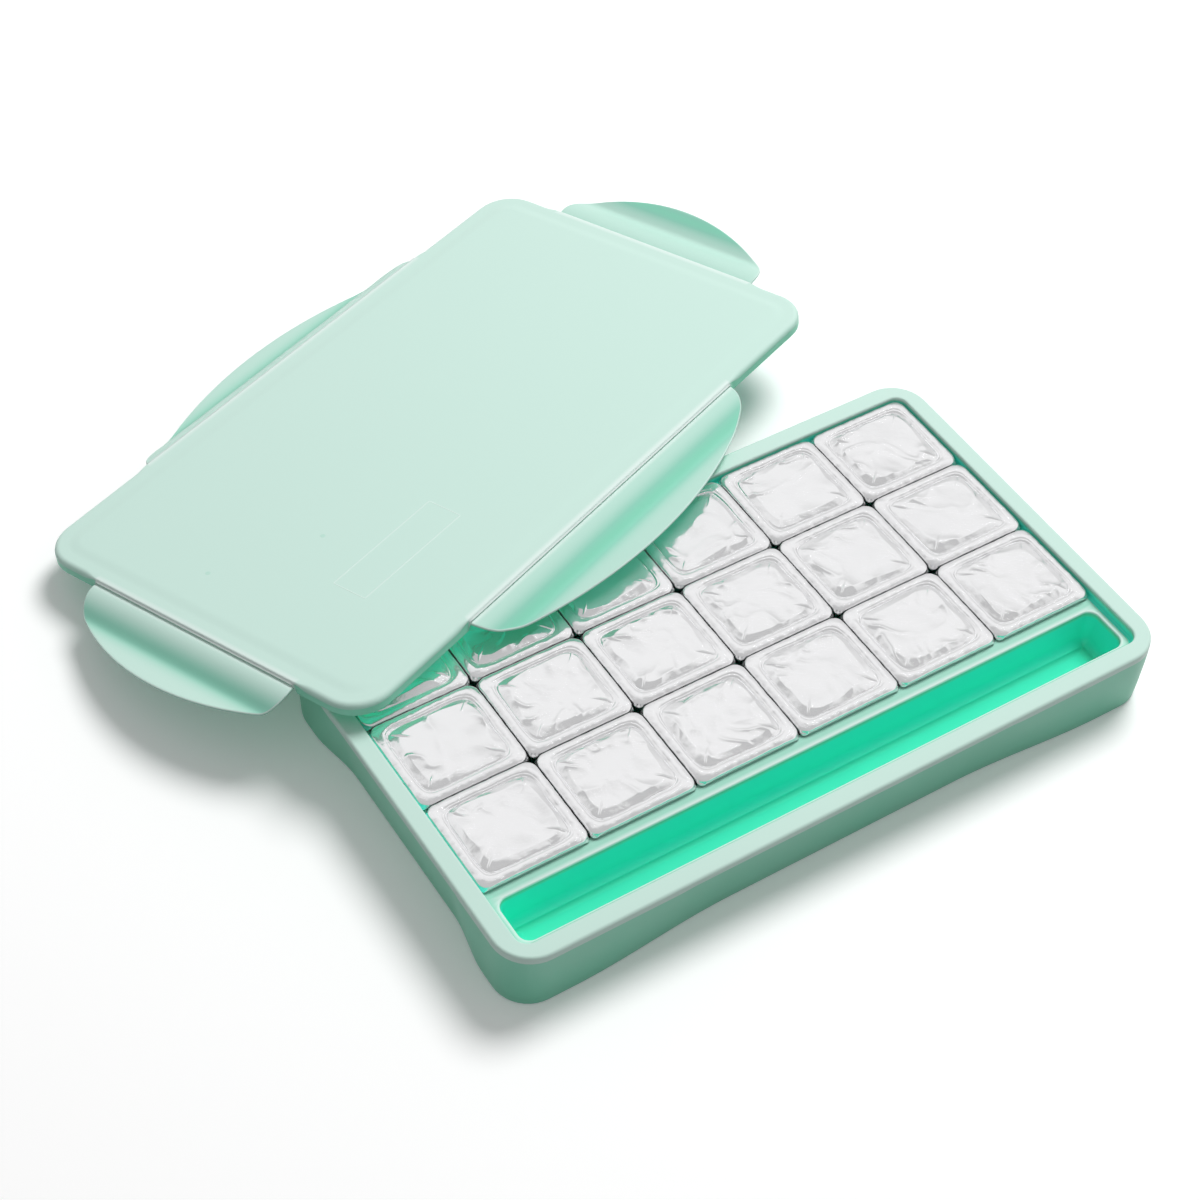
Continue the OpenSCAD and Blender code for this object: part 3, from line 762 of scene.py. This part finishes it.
    # the skirt's rim is torn up and down, and the edge sways in and out
    folded = remap(up, f["skirtLow"], f["skirtHigh"], 1.0, 0.0)
    tear = total(noise("rim"), product(noise("rimWaves"), f["rimWaves"]))
    ragged = product(folded, edge, tear)
    bumps = product(roll, calc("SUBTRACT", 1.0, inside))
    height = total(bumps, *lines, pillow, creases, corner, fine)
    level = calc("SUBTRACT", 1.0, folded)
    atEdge = calc("SUBTRACT", 1.0, remap(plain, 0.0, f["swayReach"], 0.0, 1.0))
    sway = product(noise("sway"), f["edgeSway"], atEdge)
    lift = add("ShaderNodeCombineXYZ")
    link(product(across, sway), lift.inputs["X"])
    link(product(along, sway), lift.inputs["Y"])
    link(total(product(height, level), ragged, into.outputs["Top"]), lift.inputs["Z"])
    moved = add("GeometryNodeSetPosition")
    link(into.outputs["Geometry"], moved.inputs["Geometry"])
    link(lift.outputs[0], moved.inputs["Offset"])
    placed = add("GeometryNodeTransform")
    link(moved.outputs[0], placed.inputs["Geometry"])
    link(into.outputs["Place"], placed.inputs["Translation"])
    real = add("GeometryNodeRealizeInstances")
    link(placed.outputs[0], real.inputs[0])
    paint = add("GeometryNodeSetMaterial")
    link(real.outputs[0], paint.inputs["Geometry"])
    link(into.outputs["Material"], paint.inputs["Material"])
    link(paint.outputs[0], out.inputs[0])
    return tree


def makeFoil(name, base, tree, x, y, seed, material):
    c = cups
    mod = base.modifiers.new("creasedFoil", "NODES")
    mod.node_group = tree
    wanted = {
        "Half Length": c["length"] / 2, "Half Width": c["width"] / 2, "Seal Edge": c["sealEdge"],
        "Pillow": c["pillow"], "Crease": c["crease"], "Ragged Edge": c["raggedEdge"],
        "Seed": float(seed), "Top": c["top"] + c["foilAbove"], "Place": (x, y, 0.0), "Material": material,
    }
    for item in tree.interface.items_tree:
        if item.in_out == "INPUT" and item.name in wanted:
            mod[item.identifier] = wanted[item.name]
    shown = base.evaluated_get(bpy.context.evaluated_depsgraph_get())
    mesh = bpy.data.meshes.new_from_object(shown)
    base.modifiers.remove(mod)
    mesh.name = name
    obj = bpy.data.objects.new(name, mesh)
    bpy.context.scene.collection.objects.link(obj)
    return obj


# mint is the plastic's own colour; the other mints are painted highlight, painted shade and painted bounce
# light, and glow is the colour of a painted glow
colours = {
    "highlightMint": (0.80, 0.92, 0.88), "mint": (0.60, 0.81, 0.73), "shadeMint": (0.29, 0.66, 0.52),
    "wallShadeMint": (0.22, 0.76, 0.52), "bounceLightMint": (0.07, 1.0, 0.80), "deepShadeMint": (0.05, 0.75, 0.50),
    "glow": (0.02, 0.26, 0.14), "foil": (0.91, 0.91, 0.92), "cup": (0.86, 0.87, 0.88),
    "paint": (0.86, 0.84, 0.78),
}
# where each mint stands on the way from pale to deep: a painted highlight at 0, the plastic's own mint at
# 0.1, then painted shade and painted bounce light, the deepest painted shade at 1
mintStops = (
    (0.0, "highlightMint"), (0.1, "mint"), (0.3, "shadeMint"),
    (0.45, "wallShadeMint"), (0.6, "bounceLightMint"), (1.0, "deepShadeMint"),
)
finish = {
    "grainScale": 900.0, "grainDetail": 3, "grainBump": 0.06, "grainDepth": 0.0002,
    "patchScale": 22, "patchDetail": 4, "patchRange": (0.35, 0.65), "gloss": (0.3, 0.4), "plasticIor": 1.49,
    # the share of the painted glow that other surfaces receive by diffuse bounce
    "spreadGlow": 0.2,
    "wrinkleScale": 420, "wrinkleDetail": 3, "wrinkleTwist": 0.6, "wrinkleBump": 0.16,
    "wrinkleDepth": 0.0004, "foilMetal": 0.82, "foilGloss": (0.12, 0.2),
    "cupBump": 0.05, "cupGloss": (0.25, 0.35), "paintGloss": (0.2, 0.5),
}


def newMaterial(name):
    m = bpy.data.materials.new(name)
    m.use_nodes = True
    m.node_tree.nodes.clear()
    shader = m.node_tree.nodes.new("ShaderNodeBsdfPrincipled")
    out = m.node_tree.nodes.new("ShaderNodeOutputMaterial")
    m.node_tree.links.new(shader.outputs[0], out.inputs[0])
    return m, shader


# Fine moulded grain: a height for the bump and an uneven gloss
def grainGroup():
    g = bpy.data.node_groups.new("mouldedGrain", "ShaderNodeTree")
    glossLow, glossHigh = finish["gloss"]
    sockets = (("Scale", finish["grainScale"]), ("Gloss Low", glossLow), ("Gloss High", glossHigh))
    for name, value in sockets:
        s = g.interface.new_socket(name, in_out="INPUT", socket_type="NodeSocketFloat")
        s.default_value = value
    g.interface.new_socket("Height", in_out="OUTPUT", socket_type="NodeSocketFloat")
    g.interface.new_socket("Roughness", in_out="OUTPUT", socket_type="NodeSocketFloat")
    add, link = g.nodes.new, g.links.new
    into, out, place = add("NodeGroupInput"), add("NodeGroupOutput"), add("ShaderNodeTexCoord")
    grain = add("ShaderNodeTexNoise")
    grain.inputs["Detail"].default_value = finish["grainDetail"]
    link(place.outputs["Object"], grain.inputs["Vector"])
    link(into.outputs["Scale"], grain.inputs["Scale"])
    link(grain.outputs["Fac"], out.inputs["Height"])
    patch = add("ShaderNodeTexNoise")
    patch.inputs["Scale"].default_value = finish["patchScale"]
    patch.inputs["Detail"].default_value = finish["patchDetail"]
    link(place.outputs["Object"], patch.inputs["Vector"])
    ramp = add("ShaderNodeMapRange")
    ramp.inputs["From Min"].default_value, ramp.inputs["From Max"].default_value = finish["patchRange"]
    link(patch.outputs["Fac"], ramp.inputs["Value"])
    link(into.outputs["Gloss Low"], ramp.inputs["To Min"])
    link(into.outputs["Gloss High"], ramp.inputs["To Max"])
    link(ramp.outputs["Result"], out.inputs["Roughness"])
    return g


# Adds the moulded grain to a shader: its bump, unless it has its own, and its gloss
def addGrain(m, shader, grain, strength=None, gloss=None):
    add, link = m.node_tree.nodes.new, m.node_tree.links.new
    fine = add("ShaderNodeGroup")
    fine.node_tree = grain
    if gloss is not None:
        fine.inputs["Gloss Low"].default_value, fine.inputs["Gloss High"].default_value = gloss
    if strength is not None:
        addBump(m, shader, fine.outputs["Height"], strength, finish["grainDepth"])
    link(fine.outputs["Roughness"], shader.inputs["Roughness"])


def addBump(m, shader, height, strength, depth):
    bump = m.node_tree.nodes.new("ShaderNodeBump")
    bump.inputs["Strength"].default_value = strength
    bump.inputs["Distance"].default_value = depth
    m.node_tree.links.new(height, bump.inputs["Height"])
    m.node_tree.links.new(bump.outputs[0], shader.inputs["Normal"])


def mintPlastic(name, grain):
    m, shader = newMaterial(name)
    add, link = m.node_tree.nodes.new, m.node_tree.links.new
    # the ramp turns each point's painted light and shade into a mint colour
    deep, ramp = add("ShaderNodeAttribute"), add("ShaderNodeValToRGB")
    deep.attribute_name = "paintedLightAndTone"
    for at, _ in mintStops[1:-1]:
        ramp.color_ramp.elements.new(at)
    for stop, (at, tone) in zip(ramp.color_ramp.elements, mintStops):
        stop.position = at
        stop.color = (*colours[tone], 1)
    link(deep.outputs["Fac"], ramp.inputs[0])
    link(ramp.outputs["Color"], shader.inputs["Base Color"])
    # painted glow: emission on the undersides stands in for light that comes through the thin lid and shows
    # green there
    paintedGlow, shine, path = add("ShaderNodeAttribute"), add("ShaderNodeMix"), add("ShaderNodeLightPath")
    paintedGlow.attribute_name = "glow"
    share, level = add("ShaderNodeMapRange"), add("ShaderNodeMath")
    share.inputs["To Min"].default_value = 1.0
    share.inputs["To Max"].default_value = finish["spreadGlow"]
    link(path.outputs["Is Diffuse Ray"], share.inputs["Value"])
    level.operation = "MULTIPLY"
    link(paintedGlow.outputs["Fac"], level.inputs[0])
    link(share.outputs["Result"], level.inputs[1])
    shine.data_type = "RGBA"
    shine.inputs["A"].default_value = (0, 0, 0, 1)
    shine.inputs["B"].default_value = (*colours["glow"], 1)
    link(level.outputs[0], shine.inputs["Factor"])
    link(shine.outputs["Result"], shader.inputs["Emission Color"])
    shader.inputs["Emission Strength"].default_value = 1.0
    shader.inputs["IOR"].default_value = finish["plasticIor"]
    addGrain(m, shader, grain, finish["grainBump"])
    return m


def foilMaterial(grain):
    m, shader = newMaterial("foilSilver")
    add, link = m.node_tree.nodes.new, m.node_tree.links.new
    place, wrinkle = add("ShaderNodeTexCoord"), add("ShaderNodeTexNoise")
    wrinkle.inputs["Scale"].default_value = finish["wrinkleScale"]
    wrinkle.inputs["Detail"].default_value = finish["wrinkleDetail"]
    wrinkle.inputs["Distortion"].default_value = finish["wrinkleTwist"]
    link(place.outputs["Object"], wrinkle.inputs["Vector"])
    addBump(m, shader, wrinkle.outputs["Fac"], finish["wrinkleBump"], finish["wrinkleDepth"])
    addGrain(m, shader, grain, gloss=finish["foilGloss"])
    shader.inputs["Base Color"].default_value = (*colours["foil"], 1)
    shader.inputs["Metallic"].default_value = finish["foilMetal"]
    return m


def plainPlastic(name, colour, grain, gloss):
    m, shader = newMaterial(name)
    addGrain(m, shader, grain, finish["cupBump"], gloss)
    shader.inputs["Base Color"].default_value = (*colour, 1)
    return m


grain = grainGroup()
mint = mintPlastic("mintPlastic", grain)
foilSilver = foilMaterial(grain)
cupPlastic = plainPlastic("cupPlastic", colours["cup"], grain, finish["cupGloss"])
paintPaste = plainPlastic("paintPaste", colours["paint"], grain, finish["paintGloss"])


# Puts a piece on its body in place of the plain solids
def dress(obj, body, nodes, material=None):
    if material is not None:
        obj.data.materials.clear()
        obj.data.materials.append(material)
    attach(obj, body)
    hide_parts(*nodes)


print("tray")
trayPiece = makeTray()
dress(trayPiece, "tray", ["tray"], mint)
print("lid")
place = lidPlace()
lidPiece = makeLid(place)
dress(lidPiece, "lid", ["lid_panel"], mint)
for name, piece in flap["pieces"].items():
    made = makeFlap(name, piece, place)
    dress(made, name, [name], mint)

print("cups")
base = foilBase()
tree = foilTree()
for row, rowName in enumerate(("front", "middle", "back")):
    for column in range(1, 7):
        spot = f"{rowName}_{column}"
        x, y = cupCentre(row, column)
        body = f"cup_{spot}"
        made = makeCup(f"cupMoulding_{spot}", x, y)
        dress(made, body, [body], cupPlastic)
        seed = cups["seed"] + row * 6 + column
        made = makeFoil(f"foilSeal_{spot}", base, tree, x, y, seed, foilSilver)
        dress(made, body, [f"foil_{spot}"])
        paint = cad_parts[f"paint_{spot}"].data
        paint.materials.clear()
        paint.materials.append(paintPaste)
bpy.data.objects.remove(base)


studio = {
    "floorHalf": 4.0, "floorBelow": 0.1 * mm, "floorRough": 0.9,
    "floorTone": 1.0, "floorBounce": 0.4, "floorLift": 0.1,
    "worldLevel": 0.34, "keySpot": (1.1, 0.5, 2.0), "keyAim": (0, 0.05, 0), "keySize": 1.1, "keyPower": 43,
    # reflections see these tones, from the side away from softSide round to it
    "softSide": (-0.37, -0.46, 0.81),
    "roomTones": (
        (0.25, 0.60), (0.45, 0.76), (0.575, 0.92), (0.65, 0.95),
        (0.75, 0.80), (0.79, 0.76), (0.805, 0.52), (0.925, 0.54),
    ),
}


# A white floor that throws less light back on to the part than the eye sees
def makeFloor():
    mesh = bpy.data.meshes.new("floor")
    half, z = studio["floorHalf"], -studio["floorBelow"]
    corners = [(-half, -half, z), (half, -half, z), (half, half, z), (-half, half, z)]
    mesh.from_pydata(corners, [], [(0, 1, 2, 3)])
    obj = bpy.data.objects.new("floor", mesh)
    bpy.context.scene.collection.objects.link(obj)
    m, shader = newMaterial("floorWhite")
    add, link = m.node_tree.nodes.new, m.node_tree.links.new
    path, seen = add("ShaderNodeLightPath"), add("ShaderNodeMath")
    seen.operation = "MAXIMUM"
    link(path.outputs["Is Camera Ray"], seen.inputs[0])
    link(path.outputs["Is Glossy Ray"], seen.inputs[1])
    tone = add("ShaderNodeMix")
    tone.data_type = "RGBA"
    tone.inputs["A"].default_value = (studio["floorBounce"],) * 3 + (1,)
    tone.inputs["B"].default_value = (studio["floorTone"],) * 3 + (1,)
    link(seen.outputs[0], tone.inputs["Factor"])
    link(tone.outputs["Result"], shader.inputs["Base Color"])
    glow = add("ShaderNodeMath")
    glow.operation = "MULTIPLY"
    glow.inputs[1].default_value = studio["floorLift"]
    link(seen.outputs[0], glow.inputs[0])
    link(glow.outputs[0], shader.inputs["Emission Strength"])
    shader.inputs["Emission Color"].default_value = (1, 1, 1, 1)
    shader.inputs["Roughness"].default_value = studio["floorRough"]
    shader.inputs["Specular IOR Level"].default_value = 0.0
    mesh.materials.append(m)


def areaLight(name, spot, target, size, power):
    data = bpy.data.lights.new(name, "AREA")
    data.shape = "DISK"
    data.size = size
    data.energy = power
    obj = bpy.data.objects.new(name, data)
    obj.location = spot
    obj.rotation_euler = (Vector(target) - Vector(spot)).to_track_quat("-Z", "Y").to_euler()
    obj.visible_glossy = False
    bpy.context.scene.collection.objects.link(obj)


def makeWorld():
    world = bpy.data.worlds.new("studio")
    world.use_nodes = True
    add, link = world.node_tree.nodes.new, world.node_tree.links.new
    world.node_tree.nodes.clear()
    out, sky, path = add("ShaderNodeOutputWorld"), add("ShaderNodeBackground"), add("ShaderNodeLightPath")
    # reflections see a white room with one grey side
    place, side = add("ShaderNodeTexCoord"), add("ShaderNodeVectorMath")
    side.operation = "DOT_PRODUCT"
    side.inputs[1].default_value = Vector(studio["softSide"]).normalized()
    link(place.outputs["Generated"], side.inputs[0])
    turn, ramp = add("ShaderNodeMapRange"), add("ShaderNodeValToRGB")
    turn.inputs["From Min"].default_value = -1
    link(side.outputs["Value"], turn.inputs["Value"])
    for at, _ in studio["roomTones"][1:-1]:
        ramp.color_ramp.elements.new(at)
    for stop, (at, tone) in zip(ramp.color_ramp.elements, studio["roomTones"]):
        stop.position = at
        stop.color = (tone, tone, tone, 1)
    link(turn.outputs["Result"], ramp.inputs[0])
    glossy, seen = add("ShaderNodeMix"), add("ShaderNodeMix")
    glossy.inputs["A"].default_value = studio["worldLevel"]
    link(ramp.outputs["Color"], glossy.inputs["B"])
    link(path.outputs["Is Glossy Ray"], glossy.inputs["Factor"])
    link(glossy.outputs["Result"], seen.inputs["A"])
    seen.inputs["B"].default_value = 1.0
    link(path.outputs["Is Camera Ray"], seen.inputs["Factor"])
    sky.inputs["Color"].default_value = (1, 1, 1, 1)
    link(seen.outputs["Result"], sky.inputs["Strength"])
    link(sky.outputs[0], out.inputs[0])
    bpy.context.scene.world = world


camera = {
    "lens": 78.12, "sensor": 36, "shift": (0.0229, -0.0286),
    "spot": (-0.44208, -0.52794, 0.83159), "turn": (42.092, -2.189, -32.108),
}


def makeCamera():
    data = bpy.data.cameras.new("photoView")
    data.sensor_width = camera["sensor"]
    data.lens = camera["lens"]
    data.shift_x, data.shift_y = camera["shift"]
    obj = bpy.data.objects.new("photoView", data)
    obj.location = camera["spot"]
    obj.rotation_euler = [math.radians(a) for a in camera["turn"]]
    bpy.context.scene.collection.objects.link(obj)
    bpy.context.scene.camera = obj


print("studio")
makeFloor()
makeWorld()
areaLight("key", studio["keySpot"], studio["keyAim"], studio["keySize"], studio["keyPower"])
makeCamera()
bpy.context.scene.view_settings.view_transform = "Standard"
